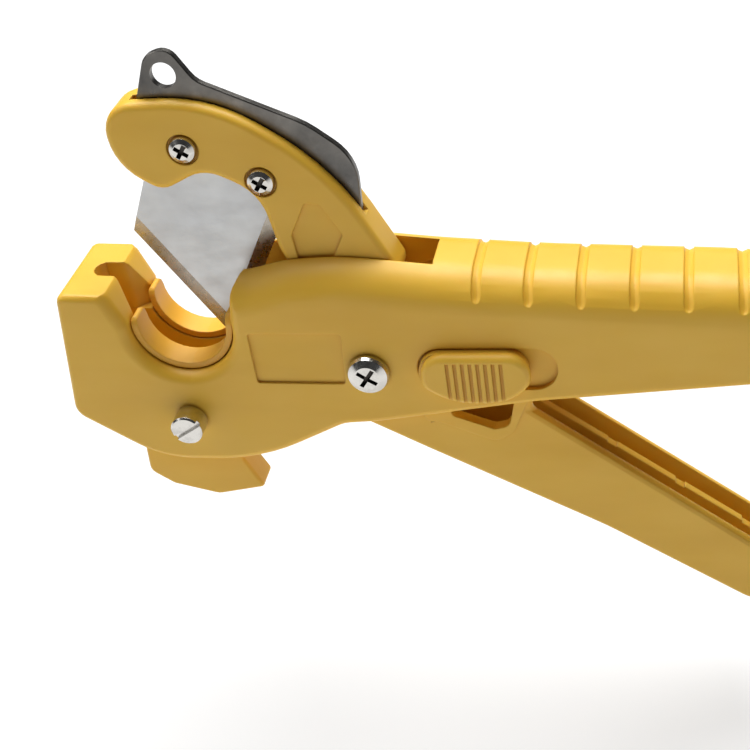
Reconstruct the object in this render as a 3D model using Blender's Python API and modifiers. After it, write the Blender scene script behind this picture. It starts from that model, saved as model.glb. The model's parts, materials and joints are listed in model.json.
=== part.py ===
"""A one-hand PVC pipe cutter, for Blender 4.5.

Design axes: X runs along the handles, Y from the front cheek to the rear one, Z up. The pivot is the
design origin, and every outline is in millimetres in the XZ plane. The frame empty moves it all so that
the centre of the bounding box is the world origin.
"""

import math

import bmesh
import bpy
from mathutils import Matrix, Vector

MM = 0.001
CENTRE = Vector((17.08, -2.75, 0.95))  # centre of the bounding box, from the pivot

# Driving sizes
HALF_BODY = 13.0  # half the thickness of the body
HALF_CAVITY = 9.2  # half the hollow between the cheeks
HALF_TOP_SLOT = 5.5  # half the slot that the arm swings in
HALF_BLADE_SLOT = 3.0
HALF_ARM = 5.2
HALF_HUB = 7.7
HALF_HANDLE = 8.2  # half the width of the lower handle
RIM_HEIGHT = 0.65  # how far the lock pocket's rim stands out of the lower handle
WALL = 2.2
GAP = 0.3  # between pieces that touch
HUB_RADIUS = 13.0
CAPACITY = 26.0  # width of the U: a 25 mm pipe and its clearance
U_CENTRE = (-45.0, 11.5)
LOCK_PEG = (25.5, 3.4)  # the tongue's peg while the lock is off
LOCK_TRAVEL = 6.0
TRACK_DEPTH = 1.2
FIRST_GROOVE, GROOVE_PITCH = 26.7, 11.45
BLADE_SCREWS = {"outer": (-36.0, 54.7), "inner": (-19.6, 46.1)}
JAW_PIN = (-46.8, -14.0)
BOLT_HOLE = 1.9  # radius of the blade's screw holes
EDGE_THICKNESS = 0.24  # flat left on the blade's cutting edge
EDGE_TILT = 9.0  # degrees of each bevel
PIVOT_NUT, JAW_NUT, BLADE_NUT = 8.0, 7.0, 5.5  # across the flats
CHORD_ERROR = 0.045  # how far a chord may leave its arc

U_RADIUS = CAPACITY / 2

COLOURS = {
    "yellow_plastic": ((0.86, 0.56, 0.10), 0.36, 0.0),
    "pad_plastic": ((0.86, 0.50, 0.09), 0.40, 0.0),
    "steel": ((0.62, 0.62, 0.60), 0.30, 1.0),
    "dark_steel": ((0.20, 0.20, 0.20), 0.38, 1.0),
    "chrome": ((0.80, 0.79, 0.77), 0.16, 1.0),
    "spring_steel": ((0.35, 0.35, 0.36), 0.34, 1.0),
}


def clear_scene():
    for item in list(bpy.data.objects):
        bpy.data.objects.remove(item, do_unlink=True)


def new_collection(name):
    group = bpy.data.collections.new(name)
    bpy.context.scene.collection.children.link(group)
    return group


def material(name):
    made = bpy.data.materials.get(name)
    if made is None:
        colour, roughness, metallic = COLOURS[name]
        made = bpy.data.materials.new(name)
        made.use_nodes = True
        shader = made.node_tree.nodes["Principled BSDF"]
        shader.inputs["Base Color"].default_value = (*colour, 1.0)
        shader.inputs["Roughness"].default_value = roughness
        shader.inputs["Metallic"].default_value = metallic
    return made


def rounded(corners):
    """The points of a closed outline. A corner is (x, z) or (x, z, radius), and a radius becomes an arc."""
    points = []
    for index, corner in enumerate(corners):
        here = Vector(corner[:2])
        if len(corner) == 2:
            points.append(here)
            continue
        radius = corner[2]
        back = (Vector(corners[index - 1][:2]) - here).normalized()
        ahead = (Vector(corners[(index + 1) % len(corners)][:2]) - here).normalized()
        half = back.angle(ahead) / 2
        turn = math.pi - 2 * half
        centre = here + (back + ahead).normalized() * (radius / math.sin(half))
        first = here + back * (radius / math.tan(half)) - centre
        side = 1 if back.cross(ahead) < 0 else -1
        chord = 2 * math.acos(max(0.5, 1 - CHORD_ERROR / radius))
        steps = max(1, math.ceil(turn / chord))
        for step in range(steps + 1):
            angle = side * turn * step / steps
            points.append(centre + Matrix.Rotation(angle, 2) @ first)
    return points


def circle(x, z, radius, sides=32):
    turns = [2 * math.pi * side / sides for side in range(sides)]
    return [(x + radius * math.cos(turn), z + radius * math.sin(turn)) for turn in turns]


def stadium(x_from, x_to, z, half_height):
    """A slot's outline with round ends, from x_from to x_to."""
    low, high = z - half_height, z + half_height
    round_end = half_height * 0.98
    return [
        (x_from, low, round_end),
        (x_to, low, round_end),
        (x_to, high, round_end),
        (x_from, high, round_end),
    ]


def mesh_object(name, mesh, group):
    item = bpy.data.objects.new(name, mesh)
    group.objects.link(item)
    return item


def slab_mesh(name, corners, y_from, y_to):
    """A flat solid: a filled outline in the XZ plane, from y_from to y_to."""
    outline = bpy.data.curves.new(name, "CURVE")
    outline.dimensions = "2D"
    outline.fill_mode = "BOTH"
    outline.extrude = abs(y_to - y_from) / 2 * MM
    points = rounded(corners)
    spline = outline.splines.new("POLY")
    spline.points.add(len(points) - 1)
    for place, point in zip(spline.points, points):
        place.co = (point[0] * MM, point[1] * MM, 0.0, 1.0)
    spline.use_cyclic_u = True
    helper = mesh_object(name + "_outline", outline, bpy.context.scene.collection)
    bpy.context.view_layer.update()
    graph = bpy.context.evaluated_depsgraph_get()
    mesh = bpy.data.meshes.new_from_object(helper.evaluated_get(graph))
    bpy.data.objects.remove(helper, do_unlink=True)
    work = bmesh.new()
    work.from_mesh(mesh)
    bmesh.ops.remove_doubles(work, verts=work.verts, dist=1e-6)
    stand = Matrix.Translation((0, (y_from + y_to) / 2 * MM, 0)) @ Matrix.Rotation(math.pi / 2, 4, "X")
    bmesh.ops.transform(work, matrix=stand, verts=work.verts)
    caps = [edge for edge in work.edges if edge.calc_face_angle(1.0) < 1e-4]
    bmesh.ops.dissolve_edges(work, edges=caps, use_verts=False)
    bmesh.ops.recalc_face_normals(work, faces=work.faces)
    work.to_mesh(mesh)
    work.free()
    mesh.name = name
    return mesh


def slab(name, corners, y_from, y_to, finish, parent):
    item = mesh_object(name, slab_mesh(name, corners, y_from, y_to), parts)
    item.data.materials.append(material(finish))
    item.parent = parent
    return item


def cutter(name, corners, y_from, y_to, parent=None):
    return hide(mesh_object(name, slab_mesh(name, corners, y_from, y_to), cutters), parent)


def hide(item, parent=None):
    item.hide_render = True
    item.display_type = "WIRE"
    item.parent = parent or frame
    return item


def cylinder_mesh(name, radius, length, sides):
    """A cylinder along Y, its middle at the origin."""
    work = bmesh.new()
    bmesh.ops.create_cone(
        work,
        cap_ends=True,
        segments=sides,
        radius1=radius * MM,
        radius2=radius * MM,
        depth=length * MM,
    )
    bmesh.ops.transform(work, matrix=Matrix.Rotation(math.pi / 2, 4, "X"), verts=work.verts)
    mesh = bpy.data.meshes.new(name)
    work.to_mesh(mesh)
    work.free()
    return mesh


def pin_cutter(name, place, radius, y_from, y_to, sides=32, parent=None):
    item = mesh_object(name, cylinder_mesh(name, radius, abs(y_to - y_from), sides), cutters)
    item.location = (place[0] * MM, (y_from + y_to) / 2 * MM, place[1] * MM)
    return hide(item, parent)


def boolean(item, other, operation="DIFFERENCE"):
    step = item.modifiers.new(operation.title() + " " + other.name, "BOOLEAN")
    step.operation = operation
    step.solver = "EXACT"
    step.object = other


def bevel(item, width, segments=3, angle=38):
    step = item.modifiers.new("Rounded edges", "BEVEL")
    step.width = width * MM
    step.segments = segments
    step.limit_method = "ANGLE"
    step.angle_limit = math.radians(angle)
    step.use_clamp_overlap = False


def turned(name, profile, finish, parent, place, sides=32):
    """A turned piece about Y. The profile is (radius, y) along its outer side, from the rear to the front."""
    work = bmesh.new()
    ring = [work.verts.new((radius * MM, 0, -y * MM)) for radius, y in reversed(profile)]
    for first, second in zip(ring, ring[1:]):
        work.edges.new((first, second))
    mesh = bpy.data.meshes.new(name)
    work.to_mesh(mesh)
    work.free()
    mesh.materials.append(material(finish))
    item = mesh_object(name, mesh, parts)
    lathe = item.modifiers.new("Lathe", "SCREW")
    lathe.steps = lathe.render_steps = sides
    lathe.use_merge_vertices = True
    lathe.merge_threshold = 0.00001
    item.rotation_euler = (math.pi / 2, 0, 0)
    item.location = (place[0] * MM, 0, place[1] * MM)
    item.parent = parent
    return item


def hex_seat(name, place, across_flats, y_from, y_to, parent=None):
    """The cutter of a hexagonal seat, with a gap round the nut."""
    corner = across_flats / math.sqrt(3) + 1.2 * GAP
    return cutter(name, circle(*place, corner, 6), y_from, y_to, parent)


def hex_nut(name, place, across_flats, hole, y_from, y_to, finish, parent):
    corner = across_flats / math.sqrt(3)
    nut = slab(name, circle(0, 0, corner, 6), y_from, y_to, finish, parent)
    nut.location = (place[0] * MM, 0, place[1] * MM)
    bevel(nut, 0.25, 1)
    bore = pin_cutter(name + "_bore", place, hole, y_from - 1, y_to + 1, 24, parent)
    boolean(nut, bore)
    return nut


# ---------------------------------------------------------------- outlines

CREST = [  # top edge of the cheeks and the upper handle
    (-17.5, 26.5, 22.0),
    (-4.6, 27.2, 60.0),
    (16.0, 24.6, 60.0),
    (40.0, 22.3, 200.0),
    (83.0, 19.9, 90.0),
]
HANDLE_END = (112.0, 15.8, 12.0)
THROAT = [  # from the hook's top down round the U and up the hump
    (-64.5, 24.5),
    (-60.85, 20.2),
    (U_CENTRE[0] - U_RADIUS, U_CENTRE[1] + 1),
    (U_CENTRE[0] - U_RADIUS, U_CENTRE[1] - U_RADIUS, U_RADIUS * 0.995),
    (U_CENTRE[0] + U_RADIUS, U_CENTRE[1] - U_RADIUS, U_RADIUS * 0.995),
    (U_CENTRE[0] + U_RADIUS, U_CENTRE[1] + 2),
    (-30.6, 22.0, 9.0),
]
BODY_BLANK = [  # the outer outline, with room over the crest and the U not yet cut
    (-73.6, 21.8, 2.2),
    (-40.0, 20.2),
    (-30.0, 30.0),
    (16.0, 30.0),
    (114.0, 24.0),
    (114.0, -1.4, 9.0),
    (37.7, -9.1, 40.0),
    (0.0, -15.3, 12.0),
    (-8.5, -16.0, 7.0),
    (-31.6, -27.6, 50.0),
    (-57.8, -27.6, 25.0),
    (-78.2, -13.3, 4.5),
]
SKIM = 0.02  # the rounding tools stand this far outside the cheeks

ARM = [
    (-53.5, 65.9, 7.4),
    (-28.5, 65.9, 36.0),
    (-4.2, 48.8, 58.0),
    (9.0, 22.0),
    (0.0, 0.0),
    (-18.4, 26.0, 20.0),
    (-21.0, 43.0, 12.0),
    (-32.5, 49.2, 8.0),
    (-43.3, 44.2, 5.0),
    (-53.5, 51.0, 13.0),
]
LEVER_BOTTOM = [(91.0, -77.2, 7.0), (52.0, -51.0, 90.0), (10.0, -27.0, 40.0), (-6.5, -17.3, 5.0)]
LEVER_TOP = [(36.2, -14.8), (99.6, -64.9, 6.0)]
LOCK_LUG = [(17.0, 2.0, 4.0), (37.6, -2.5, 2.5)]
HANDLE_PLATE = [(-11.5, -6.5), (0.0, 9.0)] + LOCK_LUG + LEVER_TOP + LEVER_BOTTOM
TROUGH = [  # the two long pockets beside the lower handle's rib
    (14.6, 10.0),
    (52.0, 10.0),
    (110.0, -40.0),
    (97.0, -65.6),
    (90.3, -73.6, 4.4),
    (53.4, -48.8, 87.0),
    (24.1, -31.6),
    (14.6, -26.0),
]
PLATE_WAY = [
    (-46.8, 90.0),
    (-46.8, 63.0),
    (-42.0, 50.9),
    (-29.9, 50.0),
    (-23.3, 43.9),
    (-16.4, 40.9),
    (-11.9, 48.4),
    (-3.4, 38.8),
    (0.9, 35.6),
    (4.5, 35.6),
    (40.0, 60.0),
]
BLADE_WAY = [
    (-58.5, 30.0),
    (-49.3, 47.3),
    (-41.1, 59.9),
    (-16.4, 50.7),
    (-11.4, 42.0),
    (-17.5, 25.5),
    (-22.0, 20.0),
]


# ---------------------------------------------------------------- body


def crown_tool():
    """What the cheeks and the upper handle are rounded to, the jaw left out of its reach."""
    corners = [(-120, -70), (-120, 60), (-50, 60), (-36.5, 26.0, 4.0), (-27.5, 24.0, 8.0)]
    corners += CREST + [HANDLE_END, (HANDLE_END[0], -70)]
    tool = cutter("crown_tool", corners, -HALF_BODY - SKIM, HALF_BODY + SKIM)
    bevel(tool, 9.2, 7)
    return tool


def throat_tool():
    """What the edges of the U are rounded to."""
    corners = [(-125, -75), (-125, 65), (-64.5, 65)] + THROAT
    corners += [(-22.0, 28.5), (-18.0, 65.0), (150, 65), (150, -75)]
    tool = cutter("throat_tool", corners, -HALF_BODY - SKIM, HALF_BODY + SKIM)
    bevel(tool, 3.0, 4)
    return tool


def groove_tool(index, x, crest):
    """A round bar bent over the crest of the handle, which cuts one grip groove."""
    bar, depth, shoulder = 1.35, 0.75, 9.2
    lift = bar - depth
    arch = bpy.data.curves.new("groove_%d" % index, "CURVE")
    arch.dimensions = "3D"
    arch.bevel_depth = bar * MM
    arch.bevel_resolution = 2
    arch.use_fill_caps = True
    # Degrees round the edge of the handle, and the share of the bar's radius there.
    taper = [(22.5, 0.42), (24.5, 0.64), (27.5, 0.83), (32.0, 0.95)]
    swell = [(angle, 1.0) for angle in (40, 50, 60, 70, 80, 90)]
    turns = [math.radians(angle) for angle, _ in taper + swell]
    shares = [share for _, share in taper + swell]
    half = HALF_BODY - shoulder
    right = [
        (half + (shoulder + lift) * math.cos(turn), crest - shoulder + (shoulder + lift) * math.sin(turn))
        for turn in turns
    ]
    path = right + [(-y, z) for y, z in reversed(right)]
    spline = arch.splines.new("POLY")
    spline.points.add(len(path) - 1)
    for place, (y, z), share in zip(spline.points, path, shares + shares[::-1]):
        place.co = (0, y * MM, z * MM, 1)
        place.radius = share
    helper = mesh_object("groove", arch, bpy.context.scene.collection)
    bpy.context.view_layer.update()
    graph = bpy.context.evaluated_depsgraph_get()
    mesh = bpy.data.meshes.new_from_object(helper.evaluated_get(graph))
    bpy.data.objects.remove(helper, do_unlink=True)
    work = bmesh.new()
    work.from_mesh(mesh)
    bmesh.ops.remove_doubles(work, verts=work.verts, dist=1e-6)
    bmesh.ops.recalc_face_normals(work, faces=work.faces)
    work.to_mesh(mesh)
    work.free()
    tool = mesh_object("groove_%d" % index, mesh, cutters)
    tool.location = (x * MM, 0, 0)
    return hide(tool)


def crest_height(x):
    """Height of the handle's crest at x, along the straight runs between its corners."""
    runs = [corner[:2] for corner in CREST] + [HANDLE_END[:2]]
    for (x0, z0), (x1, z1) in zip(runs, runs[1:]):
        if x0 <= x <= x1:
            return z0 + (z1 - z0) * (x - x0) / (x1 - x0)
    return runs[-1][1]


def body_cavity():
    """The hollow that takes the lever's hub and, when the tool is shut, its lower handle."""
    corners = [
        (-14.6, -40),
        (-14.6, 14.6, 14.0),
        (2.0, 14.6, 8.0),
        (16.0, 19.6, 10.0),
        (40.0, 18.0),
        (104.0, 9.5, 4.0),
        (104.0, -40),
    ]
    return cutter("body_cavity", corners, -HALF_CAVITY, HALF_CAVITY)


def arm_slot():
    corners = [
        (-33.5, 60),
        (-33.5, 8.0, 3.0),
        (-24.0, -1.0, 6.0),
        (-14.0, -9.0),
        (0.0, -9.0),
        (10.0, 10.0),
        (16.6, 16.0),
        (16.6, 60),
    ]
    return cutter("arm_slot", corners, -HALF_TOP_SLOT, HALF_TOP_SLOT)


def slot_mouth():
    """The round end of the blade slot and its flare, as seen from above."""
    side, flare = HALF_BLADE_SLOT + 0.1, 7.5
    corners = [
        (-68.0, -side, side * 0.98),
        (-68.0, side, side * 0.98),
        (-61.6, side, 3.0),
        (-57.0, flare),
        (-50.0, flare),
        (-50.0, -flare),
        (-57.0, -flare),
        (-61.6, -side, 3.0),
    ]
    tool = cutter("slot_mouth", corners, -40, -8.0)
    tool.rotation_euler = (-math.pi / 2, 0, 0)
    return tool


def body():
    item = slab("body", BODY_BLANK, -HALF_BODY, HALF_BODY, "yellow_plastic", frame)
    bevel(item, 1.6, 3)
    boolean(item, crown_tool(), "INTERSECT")
    boolean(item, throat_tool(), "INTERSECT")
    for index in range(7):
        x = FIRST_GROOVE + GROOVE_PITCH * index
        boolean(item, groove_tool(index, x, crest_height(x)))
    boolean(item, body_cavity())
    boolean(item, arm_slot())
    blade_way = [(-66.4, 60), (-66.4, -6.0, 6.0), (-38.0, -24.5, 3.0), (-27.0, -24.5, 3.0), (-27.0, 60)]
    boolean(item, cutter("blade_slot", blade_way, -HALF_BLADE_SLOT, HALF_BLADE_SLOT))
    boolean(item, slot_mouth())
    shoe_way = [(-66.9, -60), (-66.9, -11.5, 2.0), (-36.0, -26.4), (-36.0, -60)]
    boolean(item, cutter("shoe_way", shoe_way, -4.3, 4.3))
    label = [(-27.9, 10.9, 0.8), (-5.3, 10.6, 0.8), (-6.2, -3.6, 0.8), (-27.9, -3.3, 0.8)]
    boolean(item, cutter("label_recess", label, -HALF_BODY - 1, -HALF_BODY + 0.6))
    track = stadium(11.6, 43.8, 0.7, 5.75)
    boolean(item, cutter("lock_track", track, -HALF_BODY - 1, -HALF_BODY + TRACK_DEPTH))
    peg_x, peg_z = LOCK_PEG
    slot = stadium(peg_x - 2.7, peg_x + LOCK_TRAVEL + 2.7, peg_z, 2.6)
    boolean(item, cutter("lock_slot", slot, -HALF_BODY - 1, -HALF_CAVITY + 1))
    seat = stadium(peg_x - 7.5, peg_x + LOCK_TRAVEL + 7.5, peg_z, 5.4)
    boolean(item, cutter("lock_seat", seat, -HALF_CAVITY - 1.2, -HALF_CAVITY + 1))
    boolean(item, pin_cutter("pivot_hole", (0, 0), 2.8, -14, 14))
    boolean(item, hex_seat("pivot_nut_seat", (0, 0), PIVOT_NUT, 10.3, 14))
    boolean(item, pin_cutter("jaw_pin_hole", JAW_PIN, 2.35, -14, 14))
    boolean(item, hex_seat("jaw_nut_seat", JAW_PIN, JAW_NUT, 10.2, 14))
    return item


# ---------------------------------------------------------------- lever


def lever():
    item = slab("lever", HANDLE_PLATE, -HALF_HANDLE, HALF_HANDLE, "yellow_plastic", lever_axis)
    bevel(item, 1.4, 2)
    # The plate is thinned to the hub and the arm above the pivot.
    arm = cutter("arm_blank", ARM, -HALF_ARM, HALF_ARM, lever_axis)
    bevel(arm, 1.7, 3)
    hub_front = cutter("hub_front", circle(0, 0, 15.0, 40), -12, -HALF_HUB + 0.4, lever_axis)
    hub_rear = cutter("hub_rear", circle(0, 0, 15.0, 40), HALF_HUB - 0.4, 12, lever_axis)
    hub = pin_cutter("hub_blank", (0, 0), HUB_RADIUS, -HALF_HUB, HALF_HUB, 40, lever_axis)
    boolean(item, hub_front)
    boolean(item, hub_rear)
    boolean(item, hub, "UNION")
    boolean(item, arm, "UNION")
    for side, (y_from, y_to) in enumerate(((-HALF_HANDLE + WALL, -1.0), (1.0, HALF_HANDLE - WALL))):
        boolean(item, cutter("trough_%d" % side, TROUGH, y_from, y_to, lever_axis))
    rib_top = [(14.6, 12), (14.6, -6.0), (30.0, -11.5), (98.0, -64.5), (120.0, -60.0), (60, 12)]
    boolean(item, cutter("rib_top", rib_top, -1.5, 1.5, lever_axis))
    for index, x in enumerate((53.0, 69.0, 85.0)):
        top = -14.8 - 0.79 * (x - 36.2)
        notch = [(x, top + 3), (x + 2.2, top + 3), (x + 2.2, top - 3.4), (x, top - 1.7)]
        boolean(item, cutter("rib_notch_%d" % index, notch, -1.5, 1.5, lever_axis))
    front = (-HALF_HANDLE - 1, -HALF_HANDLE + WALL + 1)
    rim = [(8.0, -19.6, 2.0), (13.4, -17.6, 4.0), (27.6, -23.8, 3.5), (31.8, -20.6, 3.0), (36.6, -9.5, 1.0)]
    rim += [(34.0, -6.0), (14.0, -9.0)]
    rim_blank = cutter("pocket_rim", rim, -HALF_HANDLE - RIM_HEIGHT, -HALF_HUB - 0.1, lever_axis)
    boolean(item, rim_blank, "UNION")
    arc = [math.radians(angle) for angle in (-26, -17, -8, 1, 10)]
    way = [(28.4 * math.cos(turn), 28.4 * math.sin(turn)) for turn in arc]
    way += [(23.2 * math.cos(turn), 23.2 * math.sin(turn)) for turn in reversed(arc)]
    boolean(item, cutter("lock_way", way, *front, lever_axis))
    pocket = [(15.0, -15.0, 1.2), (22.0, -12.5), (24.0, -7.4), (33.4, -7.4, 1.4), (30.9, -19.0, 2.4)]
    pocket += [(27.2, -20.0, 1.5)]
    boolean(item, cutter("lock_pocket", pocket, *front, lever_axis))
    boolean(item, cutter("plate_way", PLATE_WAY, -2.2, 0.2, lever_axis))
    boolean(item, cutter("blade_way", BLADE_WAY, -0.1, 1.9, lever_axis))
    for name, place in BLADE_SCREWS.items():
        boolean(item, pin_cutter("hole_" + name, place, BOLT_HOLE, -9, 9, 24, lever_axis))
        boolean(item, pin_cutter("seat_" + name, place, 3.75, -9, -HALF_ARM + 0.9, 32, lever_axis))
        boolean(item, hex_seat("nut_seat_" + name, place, BLADE_NUT, 2.9, 9, lever_axis))
    diamond = [
        (-10.6, 40.6, 0.8),
        (-7.0, 39.9, 0.8),
        (-3.1, 32.2, 0.8),
        (-6.2, 26.0, 0.8),
        (-14.4, 25.8, 0.8),
        (-15.0, 32.4, 0.8),
    ]
    boolean(item, cutter("arm_recess", diamond, -9, -HALF_ARM + 0.6, lever_axis))
    boolean(item, pin_cutter("hub_bore", (0, 0), 4.3, -9, 9, 32, lever_axis))
    boolean(item, pin_cutter("spring_seat", (0, 0), 9.3, 2.2, 9, 33, lever_axis))
    spring_leg = [(4.0, -5.4), (6.0, -3.2), (11.8, -8.2), (9.8, -10.4)]
    boolean(item, cutter("spring_leg_seat", spring_leg, 2.3, 9, lever_axis))
    return item


# ---------------------------------------------------------------- jaw


def cradle_pads():
    """Thin liners on both sides of the blade slot."""
    x, z = U_CENTRE
    outer, inner = U_RADIUS - 0.35, U_RADIUS - 1.9
    ends = (z + 1.6, z + 2.2)
    corners = [
        (x - outer, ends[0], 0.6),
        (x - inner, ends[0], 0.6),
        (x - inner, z - inner, inner * 0.995),
        (x + inner, z - inner, inner * 0.995),
        (x + inner, ends[1], 0.6),
        (x + outer, ends[1], 0.6),
        (x + outer, z - outer, outer * 0.995),
        (x - outer, z - outer, outer * 0.995),
    ]
    for name, near, far in (("front", -9.9, -3.3), ("rear", 3.3, 9.9)):
        pad = slab("cradle_pad_" + name, corners, near, far, "pad_plastic", frame)
        tongue = [(near, -30), (near, ends[1] + 0.1, 3.2), (far, ends[1] + 0.1, 3.2), (far, -30)]
        rounding = cutter("pad_ends_" + name, tongue, 20, 80)
        rounding.rotation_euler = (0, 0, math.pi / 2)
        boolean(pad, rounding, "INTERSECT")


def jaw_shoe():
    corners = [
        (-66.5, -13.8, 1.5),
        (-66.5, -27.0, 6.0),
        (-67.4, -39.2, 3.0),
        (-61.5, -43.6, 3.0),
        (-49.5, -46.9, 4.0),
        (-36.0, -44.0, 1.0),
        (-40.6, -34.0, 3.0),
        (-39.5, -25.6, 1.0),
    ]
    shoe = slab("jaw_shoe", corners, -4.0, 4.0, "yellow_plastic", frame)
    bevel(shoe, 0.8, 2)
    boolean(shoe, pin_cutter("shoe_hole", JAW_PIN, 2.35, -9, 9))


def blade():
    corners = [
        (-48.6, 46.8),
        (-55.5, 31.5),
        (-45.8, 15.6, 30.0),
        (-36.4, 0.2),
        (-25.0, 21.1),
        (-21.9, 26.8, 2.0),
        (-12.5, 42.0, 3.0),
        (-17.0, 50.0, 3.0),
        (-40.5, 59.0, 3.0),
    ]
    item = slab("blade", corners, 0.2, 1.6, "steel", lever_axis)
    # Two flat cuts make the sloping bevels on the front and the rear of the cutting edge.
    for side, lean in (("front", -1), ("rear", 1)):
        for edge, (start, end) in {
            "left": ((-55.5, 31.5), (-36.4, 0.2)),
            "right": ((-36.4, 0.2), (-25.0, 21.1)),
        }.items():
            along = Vector((end[0] - start[0], 0, end[1] - start[1]))
            wedge = mesh_object("bevel_%s_%s" % (side, edge), box_mesh(60, 6, 12), cutters)
            tilt = math.radians(EDGE_TILT) * lean
            middle = Vector((start[0] + end[0], 0, start[1] + end[1])) / 2
            middle.y = 0.9 + lean * (EDGE_THICKNESS / 2 + 3.0 / math.cos(tilt))
            turn = Matrix.Rotation(-math.atan2(along.z, along.x), 4, "Y")
            wedge.matrix_local = Matrix.Translation(middle * MM) @ turn @ Matrix.Rotation(-tilt, 4, "X")
            hide(wedge, lever_axis)
            boolean(item, wedge)
    for name, place in BLADE_SCREWS.items():
        boolean(item, pin_cutter("blade_hole_" + name, place, BOLT_HOLE, -9, 9, 24, lever_axis))
    return item


def box_mesh(x, y, z):
    work = bmesh.new()
    bmesh.ops.create_cube(work, size=1.0)
    bmesh.ops.scale(work, vec=(x * MM, y * MM, z * MM), verts=work.verts)
    mesh = bpy.data.meshes.new("box")
    work.to_mesh(mesh)
    work.free()
    return mesh


def spine_plate():
    corners = [
        (-46.0, 64.0),
        (-41.3, 75.6, 4.2),
        (-35.6, 77.2, 3.6),
        (-30.9, 69.2, 6.0),
        (-8.0, 58.0, 20.0),
        (2.0, 49.5, 12.0),
        (1.4, 36.0),
        (-2.6, 40.4, 6.0),
        (-12.0, 50.2, 2.5),
        (-16.6, 42.0, 3.5),
        (-23.0, 45.0, 4.0),
        (-30.0, 51.0, 6.0),
        (-41.0, 52.0, 3.5),
    ]
    plate = slab("spine_plate", corners, -1.9, -0.1, "dark_steel", lever_axis)
    bevel(plate, 0.25, 1, 60)
    boolean(plate, pin_cutter("hanging_hole", (-37.8, 70.9), 2.95, -9, 9, 36, lever_axis))
    for name, place in BLADE_SCREWS.items():
        boolean(plate, pin_cutter("plate_hole_" + name, place, BOLT_HOLE, -9, 9, 24, lever_axis))


# ---------------------------------------------------------------- fasteners


def screw(name, place, head, height, shaft, face, tip, drive, parent):
    """A pan head screw along Y with its head at the front, on the plane y = face."""
    top, crown = face - height, head * 0.62
    profile = [
        (0, tip),
        (shaft - 0.3, tip),
        (shaft, tip - 0.4),
        (shaft, face),
        (head, face),
        (head, face - height * 0.35),
        (head * 0.93, face - height * 0.62),
        (crown, top + height * 0.06),
        (0, top),
    ]
    item = turned(name, profile, "chrome", parent, place)
    for index in range(2):
        bar = mesh_object("%s_drive_%d" % (name, index), box_mesh(drive, 3.2, 1.0), cutters)
        bar.location = (place[0] * MM, top * MM, place[1] * MM)
        bar.rotation_euler = (0, math.radians(35 + 90 * index), 0)
        boolean(item, hide(bar, parent))
    return item


def fasteners():
    screw("pivot_screw", (0, 0), 5.0, 2.7, 2.5, -HALF_BODY - GAP, 12.9, 5.4, frame)
    hex_nut("pivot_nut", (0, 0), PIVOT_NUT, 2.8, 10.6, 12.9, "chrome", frame)
    for name, place in BLADE_SCREWS.items():
        screw("blade_screw_" + name, place, 3.15, 1.9, 1.5, -4.6, 5.0, 3.6, lever_axis)
        hex_nut("blade_nut_" + name, place, BLADE_NUT, 1.8, 3.2, 5.1, "chrome", lever_axis)
    face, tall = -HALF_BODY - GAP, 5.2
    profile = [
        (0, 12.8),
        (1.7, 12.8),
        (2.0, 12.4),
        (2.0, face),
        (4.0, face),
        (4.0, face - tall + 0.4),
        (3.6, face - tall),
        (0, face - tall),
    ]
    pin = turned("jaw_pin", profile, "chrome", frame, JAW_PIN)
    bar = mesh_object("jaw_pin_slot", box_mesh(9.0, 2.0, 1.2), cutters)
    bar.location = (JAW_PIN[0] * MM, (face - tall) * MM, JAW_PIN[1] * MM)
    bar.rotation_euler = (0, math.radians(-32), 0)
    boolean(pin, hide(bar))
    hex_nut("jaw_pin_nut", JAW_PIN, JAW_NUT, 2.3, 10.5, 12.8, "chrome", frame)


def pivot_parts():
    ring = [(4.0, 8.9), (4.0, -8.9), (2.8, -8.9), (2.8, 8.9), (4.0, 8.9)]
    turned("pivot_sleeve", ring, "steel", frame, (0, 0))
    for name, far in (("rear", 8.9), ("front", -8.0)):
        washer = [(11.0, far), (11.0, far - 0.9), (4.3, far - 0.9), (4.3, far), (11.0, far)]
        turned("pivot_washer_" + name, washer, "steel", frame, (0, 0), 40)


def return_spring():
    """A torsion spring round the sleeve, one leg in the lever's hub."""
    wire, radius, pitch = 0.7, 6.6, 1.5
    turns, per_turn = 2.4, 18
    start = math.radians(-40)
    count = int(turns * per_turn)
    path = [(9.6, 3.3, -8.2)]
    for step in range(count + 1):
        turn = start + 2 * math.pi * step / per_turn
        path.append((radius * math.cos(turn), 3.3 + pitch * step / per_turn, radius * math.sin(turn)))
    coil = bpy.data.curves.new("return_spring", "CURVE")
    coil.dimensions = "3D"
    coil.bevel_depth = wire * MM
    coil.bevel_resolution = 2
    coil.use_fill_caps = True
    coil.materials.append(material("spring_steel"))
    spline = coil.splines.new("POLY")
    spline.points.add(len(path) - 1)
    for place, point in zip(spline.points, path):
        place.co = (*(value * MM for value in point), 1)
    item = mesh_object("return_spring", coil, parts)
    item.parent = lever_axis


# ---------------------------------------------------------------- handle lock


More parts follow.
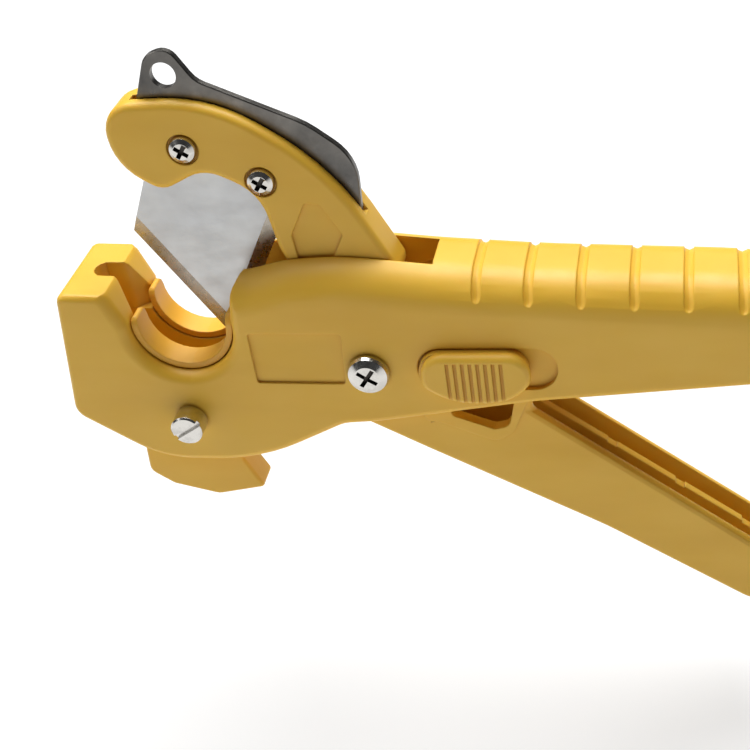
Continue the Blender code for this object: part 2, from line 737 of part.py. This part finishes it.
def lock():
    peg_x, peg_z = LOCK_PEG
    outline = [
        (12.7, -2.4, 3.5),
        (19.5, -7.0, 16.0),
        (32.5, -7.0, 12.0),
        (38.0, -1.6, 4.5),
        (37.6, 6.3, 5.2),
        (12.9, 6.3, 5.4),
    ]
    outline = [(x - peg_x, z, radius) for x, z, radius in outline]
    thumb = slab("lock_slider", outline, -16.6, -HALF_BODY - GAP, "yellow_plastic", slide_axis)
    bevel(thumb, 1.4, 3)
    foot = stadium(12.1 - peg_x, 37.3 - peg_x, 0.7, 5.35)
    foot_y = -HALF_BODY + TRACK_DEPTH - GAP
    boolean(thumb, cutter("slider_foot", foot, -14.5, foot_y, slide_axis), "UNION")
    for index in range(8):
        x = 18.8 + 1.75 * index - peg_x
        rib = [(x, -9.0), (x + 0.8, -9.0), (x + 0.8, 4.6), (x, 4.6)]
        boolean(thumb, cutter("rib_gap_%d" % index, rib, -20, -16.0, slide_axis))
    boolean(thumb, pin_cutter("thumb_screw_hole", (0, peg_z), 0.95, -14.9, -8, 16, slide_axis))
    plate = slab("lock_tongue", stadium(-6.8, 6.8, peg_z, 4.8), -10.1, -9.4, "pad_plastic", slide_axis)
    peg = pin_cutter("peg_blank", (0, peg_z), 2.2, -11.8, -6.0, 28, slide_axis)
    boolean(plate, peg, "UNION")
    boolean(plate, pin_cutter("peg_bore", (0, peg_z), 1.3, -13, -5, 20, slide_axis))
    boolean(plate, pin_cutter("peg_head_seat", (0, peg_z), 1.75, -7.6, -5, 20, slide_axis))
    profile = [(0, -6.2), (1.4, -6.2), (1.4, -7.3), (0.65, -7.3), (0.65, -14.4), (0, -14.4)]
    turned("lock_screw", profile, "chrome", slide_axis, (0, peg_z), 16)


clear_scene()
parts = new_collection("pvc_pipe_cutter")
cutters = new_collection("cutters")
frame = mesh_object("cutter_frame", None, parts)
frame.location = -CENTRE * MM
lever_axis = mesh_object("lever_axis", None, parts)
lever_axis.parent = frame
slide_axis = mesh_object("slide_axis", None, parts)
slide_axis.location = (LOCK_PEG[0] * MM, 0, 0)
slide_axis.parent = frame

body()
lever()
cradle_pads()
jaw_shoe()
blade()
spine_plate()
fasteners()
pivot_parts()
return_spring()
lock()
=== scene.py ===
"""Looks of the PVC pipe cutter: finer surfaces for its pieces, materials, light and camera."""

import json
import math

import bmesh
import bpy
from mathutils import Matrix, Vector


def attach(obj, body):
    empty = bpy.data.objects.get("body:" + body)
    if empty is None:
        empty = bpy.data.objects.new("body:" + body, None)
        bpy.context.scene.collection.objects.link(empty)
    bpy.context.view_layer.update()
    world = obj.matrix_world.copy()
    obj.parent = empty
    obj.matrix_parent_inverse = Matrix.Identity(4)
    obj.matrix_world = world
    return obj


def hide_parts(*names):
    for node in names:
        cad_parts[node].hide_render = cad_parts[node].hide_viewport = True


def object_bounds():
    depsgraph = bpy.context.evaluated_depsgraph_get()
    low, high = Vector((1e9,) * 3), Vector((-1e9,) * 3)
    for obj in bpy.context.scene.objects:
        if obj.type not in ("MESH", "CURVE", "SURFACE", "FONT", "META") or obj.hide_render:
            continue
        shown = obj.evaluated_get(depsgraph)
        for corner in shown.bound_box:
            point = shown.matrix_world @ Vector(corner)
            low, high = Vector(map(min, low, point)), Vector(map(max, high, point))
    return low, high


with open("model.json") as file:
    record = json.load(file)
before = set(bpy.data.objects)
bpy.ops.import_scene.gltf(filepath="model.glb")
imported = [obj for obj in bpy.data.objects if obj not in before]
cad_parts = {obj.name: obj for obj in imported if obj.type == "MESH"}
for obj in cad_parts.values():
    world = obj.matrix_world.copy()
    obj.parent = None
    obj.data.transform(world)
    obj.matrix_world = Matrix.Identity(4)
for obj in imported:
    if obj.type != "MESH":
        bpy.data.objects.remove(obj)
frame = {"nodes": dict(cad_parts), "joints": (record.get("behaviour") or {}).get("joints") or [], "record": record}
cad_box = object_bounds()
nodes = frame["nodes"]
scene = bpy.context.scene
PIVOT = Vector(next(j for j in frame["joints"] if j["name"] == "lever_hinge")["pos_m"])
MM = 0.001

# Finer surfaces, in millimetres and degrees
WELD = 0.002  # points nearer than this are one point
FLAT_ANGLE = 0.6  # faces nearer to level than this are joined
SHARP_ANGLE = 28
BROKEN_EDGE_ANGLE = 32
PLASTIC_EDGE, METAL_EDGE = 0.25, 0.12  # width of a broken edge
METAL_SLOTS = ("chrome", "steel", "dark_steel")
SHARP_NODES = ("return_spring", "blade")  # their edges stay as they are
FLOOR_DROP = 30  # clear of the lower handle at its widest
VIEW_ROLL = -9.67


# ---------------------------------------------------------------- materials


class Recipe:
    """A procedural material: a Principled BSDF and the nodes that feed it, in object coordinates."""

    def __init__(self, name, colour, roughness, metallic=0.0):
        self.material = bpy.data.materials.new(name)
        self.material.use_nodes = True
        self.tree = self.material.node_tree
        self.shader = self.tree.nodes["Principled BSDF"]
        self.shader.inputs["Base Color"].default_value = (*colour, 1)
        self.shader.inputs["Roughness"].default_value = roughness
        self.shader.inputs["Metallic"].default_value = metallic
        self.place = self.add("ShaderNodeTexCoord").outputs["Object"]

    def add(self, kind, **settings):
        node = self.tree.nodes.new(kind)
        for key, value in settings.items():
            setattr(node, key, value)
        return node

    def link(self, output, socket):
        self.tree.links.new(output, socket)

    def noise(self, scale, detail=4.0, roughness=0.5, stretch=(1, 1, 1), turn=(0, 0, 0)):
        mapping = self.add("ShaderNodeMapping")
        mapping.inputs["Scale"].default_value = stretch
        mapping.inputs["Rotation"].default_value = turn
        self.link(self.place, mapping.inputs["Vector"])
        noise = self.add("ShaderNodeTexNoise")
        noise.inputs["Scale"].default_value = scale
        noise.inputs["Detail"].default_value = detail
        noise.inputs["Roughness"].default_value = roughness
        self.link(mapping.outputs["Vector"], noise.inputs["Vector"])
        return noise.outputs["Fac"]

    def ramp(self, factor, stops):
        ramp = self.add("ShaderNodeValToRGB")
        while len(ramp.color_ramp.elements) < len(stops):
            ramp.color_ramp.elements.new(0.5)
        for element, (position, colour) in zip(ramp.color_ramp.elements, stops):
            element.position = position
            element.color = (*colour, 1)
        self.link(factor, ramp.inputs["Fac"])
        return ramp.outputs["Color"]

    def spread(self, factor, low, high):
        """The middle of a noise's range, 0.3 to 0.7, stretched to low and high."""
        stretch = self.add("ShaderNodeMapRange")
        for key, value in (("From Min", 0.3), ("From Max", 0.7), ("To Min", low), ("To Max", high)):
            stretch.inputs[key].default_value = value
        self.link(factor, stretch.inputs["Value"])
        return stretch.outputs["Result"]

    def painted_crease_shade(self, colour, reach, shade):
        """Paints shade into the colour: darkens it in corners and grooves up to reach wide, in millimetres."""
        near = self.add("ShaderNodeAmbientOcclusion", samples=6)
        near.inputs["Distance"].default_value = reach * MM
        dark = self.ramp(near.outputs["AO"], [(0.25, shade), (0.85, (1, 1, 1))])
        mix = self.add("ShaderNodeMix", data_type="RGBA", blend_type="MULTIPLY")
        mix.inputs[0].default_value = 1.0
        self.link(colour, mix.inputs[6])
        self.link(dark, mix.inputs[7])
        return mix.outputs[2]

    def soft_edges(self, radius):
        """Rounds the shading of every edge by radius, in millimetres."""
        soft = self.add("ShaderNodeBevel", samples=6)
        soft.inputs["Radius"].default_value = radius * MM
        self.link(soft.outputs["Normal"], self.shader.inputs["Normal"])

    def bump(self, factor, strength, distance):
        bump = self.add("ShaderNodeBump")
        bump.inputs["Strength"].default_value = strength
        bump.inputs["Distance"].default_value = distance
        self.link(factor, bump.inputs["Height"])
        previous = self.shader.inputs["Normal"].links
        if previous:
            self.link(previous[0].from_socket, bump.inputs["Normal"])
        self.link(bump.outputs["Normal"], self.shader.inputs["Normal"])


def plastic(name, dark, middle, light, roughness):
    """Glass-filled nylon: a satin skin with a fine moulding grain, faint flow streaks, rubbed patches and painted
    shade in its corners and grooves.
    """
    recipe = Recipe(name, middle, roughness)
    shader = recipe.shader
    shader.inputs["Subsurface Weight"].default_value = 0.12
    shader.inputs["Subsurface Radius"].default_value = (1.0, 0.5, 0.12)
    shader.inputs["Subsurface Scale"].default_value = 1.6 * MM
    shader.inputs["IOR"].default_value = 1.48
    recipe.soft_edges(0.55)
    streaks = recipe.noise(38, 3, 0.5, stretch=(0.6, 1.0, 2.2), turn=(0, 0.35, 0))
    tone = recipe.ramp(streaks, [(0.3, dark), (0.5, middle), (0.72, light)])
    # painted shade: the tone is darkened in corners and grooves
    recipe.link(recipe.painted_crease_shade(tone, 1.4, (0.80, 0.66, 0.45)), shader.inputs["Base Color"])
    rub = recipe.noise(110, 5, 0.6)
    recipe.link(recipe.spread(rub, roughness - 0.07, roughness + 0.08), shader.inputs["Roughness"])
    recipe.bump(recipe.noise(2600, 2, 0.5), 0.10, 0.05 * MM)
    recipe.bump(recipe.noise(55, 2, 0.4), 0.10, 0.35 * MM)
    return recipe.material


def blade_steel():
    """Ground stainless strip with soft smears and cloudy patches of oil."""
    recipe = Recipe("ground_steel", (0.60, 0.61, 0.61), 0.30, 1.0)
    shader = recipe.shader
    clouds = recipe.noise(60, 4, 0.55, stretch=(1.0, 1.0, 0.8))
    tones = [(0.3, (0.50, 0.505, 0.51)), (0.5, (0.56, 0.565, 0.56)), (0.72, (0.63, 0.63, 0.62))]
    recipe.link(recipe.ramp(clouds, tones), shader.inputs["Base Color"])
    smear = recipe.noise(120, 4, 0.6, stretch=(1.0, 1.0, 2.2), turn=(0, 0.5, 0))
    recipe.link(recipe.spread(smear, 0.36, 0.50), shader.inputs["Roughness"])
    recipe.bump(recipe.noise(1500, 2, 0.5, stretch=(0.05, 1.0, 1.0), turn=(0, 0.5, 0)), 0.05, 0.01 * MM)
    return recipe.material


def plate_steel():
    """Spring steel, its dark tone a painted dark reflection, with lighter rubbed patches."""
    recipe = Recipe("plate_steel_painted_dark_reflection", (0.17, 0.165, 0.155), 0.34, 1.0)
    shader = recipe.shader
    clouds = recipe.noise(60, 6, 0.6)
    # the dark tones paint the plate's dark reflection; the lighter patches fall at random
    tones = [(0.3, (0.09, 0.088, 0.085)), (0.55, (0.18, 0.17, 0.155)), (0.75, (0.34, 0.32, 0.29))]
    recipe.link(recipe.ramp(clouds, tones), shader.inputs["Base Color"])
    recipe.link(recipe.spread(recipe.noise(160, 5, 0.6), 0.24, 0.44), shader.inputs["Roughness"])
    recipe.bump(recipe.noise(700, 2, 0.5, stretch=(1.0, 1.0, 0.06), turn=(0, 0.6, 0)), 0.15, 0.03 * MM)
    return recipe.material


def plated(name, colour, roughness):
    """Nickel or zinc plating with fine turning marks and small dull spots."""
    recipe = Recipe(name, colour, roughness, 1.0)
    shader = recipe.shader
    spots = recipe.noise(420, 4, 0.6)
    dull = tuple(0.84 * value for value in colour)
    recipe.link(recipe.ramp(spots, [(0.34, dull), (0.5, colour)]), shader.inputs["Base Color"])
    wear = recipe.noise(700, 3, 0.5)
    recipe.link(recipe.spread(wear, roughness - 0.05, roughness + 0.1), shader.inputs["Roughness"])
    recipe.bump(recipe.noise(2200, 2, 0.5), 0.06, 0.02 * MM)
    return recipe.material


YELLOW = plastic("yellow_nylon", (0.79, 0.455, 0.036), (0.83, 0.49, 0.045), (0.86, 0.52, 0.055), 0.46)
PAD = plastic("pad_nylon", (0.80, 0.42, 0.04), (0.84, 0.455, 0.05), (0.87, 0.49, 0.06), 0.44)
BLADE = blade_steel()
PLATE = plate_steel()
CHROME = plated("nickel_plate", (0.66, 0.64, 0.60), 0.17)
ZINC = plated("zinc_plate", (0.55, 0.55, 0.53), 0.30)
SPRING = plated("spring_wire", (0.32, 0.32, 0.32), 0.32)
# painted shade for the drive recesses of the screws and the head of the jaw pin
DRIVE_SHADE = plated("drive_recess_painted_shade", (0.10, 0.09, 0.08), 0.5)
# a finer grind with a painted reflection of the yellow body, in a darker, warmer steel
BEVEL_GRIND_AND_REFLECTION = plated("ground_bevel_and_painted_reflection", (0.40, 0.365, 0.31), 0.26)

MATERIAL_OF_SLOT = {
    "yellow_plastic": YELLOW,
    "pad_plastic": PAD,
    "steel": ZINC,
    "dark_steel": PLATE,
    "chrome": CHROME,
    "spring_steel": SPRING,
}


# ---------------------------------------------------------------- finer surfaces


def refine(node, body, material, edge):
    """A smooth-shaded copy of a CAD node with its cut edges broken, which stands for the node."""
    source = nodes[node]
    work = bmesh.new()
    work.from_mesh(source.data)
    bmesh.ops.remove_doubles(work, verts=work.verts, dist=WELD * MM)
    bmesh.ops.dissolve_degenerate(work, edges=work.edges, dist=WELD * MM)
    level = math.radians(FLAT_ANGLE)
    bmesh.ops.dissolve_limit(work, angle_limit=level, verts=work.verts, edges=work.edges)
    for face in work.faces:
        face.smooth = True
    mesh = bpy.data.meshes.new(node + "_skin")
    work.to_mesh(mesh)
    work.free()
    mesh.set_sharp_from_angle(angle=math.radians(SHARP_ANGLE))
    piece = bpy.data.objects.new(node + "_skin", mesh)
    scene.collection.objects.link(piece)
    mesh.materials.clear()
    mesh.materials.append(material)
    if edge:
        soften = piece.modifiers.new("Broken edges", "BEVEL")
        soften.width = edge * MM
        soften.segments = 2
        soften.limit_method = "ANGLE"
        soften.angle_limit = math.radians(BROKEN_EDGE_ANGLE)
        soften.harden_normals = True
        soften.use_clamp_overlap = True
    shade = piece.modifiers.new("Weighted normals", "WEIGHTED_NORMAL")
    shade.keep_sharp = True
    shade.weight = 60
    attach(piece, body)
    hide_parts(node)
    return piece


def paint_drive_shade(piece, share, depth):
    """Painted shade in a screw's drive recess: its faces below the top of the head."""
    points = [vertex.co for vertex in piece.data.vertices]
    top = min(point.y for point in points)
    axis = [(min(values) + max(values)) / 2 for values in zip(*((point.x, point.z) for point in points))]
    reach = max(point.x for point in points) - axis[0]
    piece.data.materials.append(DRIVE_SHADE)
    for face in piece.data.polygons:
        away = math.hypot(face.center.x - axis[0], face.center.z - axis[1])
        below = face.center.y - top
        if away < share * reach and depth[0] * MM < below < depth[1] * MM:
            face.material_index = 1


def bevel_grind_and_reflection(piece):
    """The finer grind of the sloping faces along the cutting edge, painted darker and warmer: a painted reflection
    of the yellow body.
    """
    piece.data.materials.append(BEVEL_GRIND_AND_REFLECTION)
    for face in piece.data.polygons:
        if 0.9 < abs(face.normal.y) < 0.998:
            face.material_index = 1


def dress_nodes():
    """Gives each CAD node its skin, on the node's own body."""
    slots = {part["node"]: part["material_slot"] for part in frame["record"]["subparts"]}
    groups = frame["record"]["behaviour"]["bodies"]
    for body, members in groups.items():
        for node in members:
            material = BLADE if node == "blade" else MATERIAL_OF_SLOT[slots[node]]
            edge = METAL_EDGE if slots[node] in METAL_SLOTS else PLASTIC_EDGE
            if node in SHARP_NODES:
                edge = 0
            piece = refine(node, body, material, edge)
            # painted shade in the drive recesses and in the jaw pin's head
            if "screw" in node:
                paint_drive_shade(piece, 0.6, (0.2, 1.9))
            if node == "jaw_pin":
                paint_drive_shade(piece, 1.1, (0.45, 0.8))
            # the bevel faces take the painted reflection of the yellow body
            if node == "blade":
                bevel_grind_and_reflection(piece)


dress_nodes()


# ---------------------------------------------------------------- camera, floor and light


def add_camera():
    """The photo's view: 35 degrees down and 16 degrees to the right of the front, rolled a little."""
    data = bpy.data.cameras.new("camera")
    data.lens = 64.8
    data.sensor_width = 36.0
    camera = bpy.data.objects.new("camera", data)
    scene.collection.objects.link(camera)
    camera.location = PIVOT + Vector((74.7, -259.6, 179.4)) * MM
    direction = Vector((-0.2337, 0.7849, -0.5739))
    turn = direction.to_track_quat("-Z", "Y").to_matrix() @ Matrix.Rotation(math.radians(VIEW_ROLL), 3, "Z")
    camera.rotation_euler = turn.to_euler()
    scene.camera = camera


def add_floor():
    """A plain white floor, lower than the tool at every pose."""
    bpy.ops.mesh.primitive_plane_add(size=30, location=(0, 0, cad_box[0][2] - FLOOR_DROP * MM))
    floor = bpy.context.object
    floor.name = "floor"
    recipe = Recipe("white_paper", (0.36, 0.36, 0.36), 0.9)
    recipe.shader.inputs["Emission Color"].default_value = (1, 1, 1, 1)
    recipe.shader.inputs["Emission Strength"].default_value = 0.66
    recipe.bump(recipe.noise(300, 3, 0.5), 0.03, 0.1 * MM)
    floor.data.materials.append(recipe.material)


def add_area(name, place, aim, size, power):
    data = bpy.data.lights.new(name, "AREA")
    data.shape = "RECTANGLE"
    data.size, data.size_y = size
    data.energy = power
    light = bpy.data.objects.new(name, data)
    scene.collection.objects.link(light)
    light.location = place
    light.rotation_euler = (Vector(aim) - Vector(place)).to_track_quat("-Z", "Y").to_euler()


def add_light():
    """A dim room that the camera sees as a pale backdrop, a ceiling panel and a window on the left."""
    world = bpy.data.worlds.new("room")
    scene.world = world
    world.use_nodes = True
    tree = world.node_tree
    dim = tree.nodes["Background"]
    dim.inputs["Color"].default_value = (0.93, 0.95, 1.0, 1)
    dim.inputs["Strength"].default_value = 0.05
    pale = tree.nodes.new("ShaderNodeBackground")
    pale.inputs["Color"].default_value = (1, 1, 1, 1)
    pale.inputs["Strength"].default_value = 0.80
    mix = tree.nodes.new("ShaderNodeMixShader")
    path = tree.nodes.new("ShaderNodeLightPath")
    tree.links.new(path.outputs["Is Camera Ray"], mix.inputs["Fac"])
    tree.links.new(dim.outputs["Background"], mix.inputs[1])
    tree.links.new(pale.outputs["Background"], mix.inputs[2])
    tree.links.new(mix.outputs["Shader"], tree.nodes["World Output"].inputs["Surface"])
    add_area("ceiling", (-0.10, 0.40, 1.05), (0, 0.05, 0), (1.2, 0.8), 23.5)
    add_area("side_window", (-1.0, -0.30, 0.8), (0, 0, 0), (0.6, 0.6), 2.2)


add_camera()
add_floor()
add_light()
scene.view_settings.view_transform = "Standard"
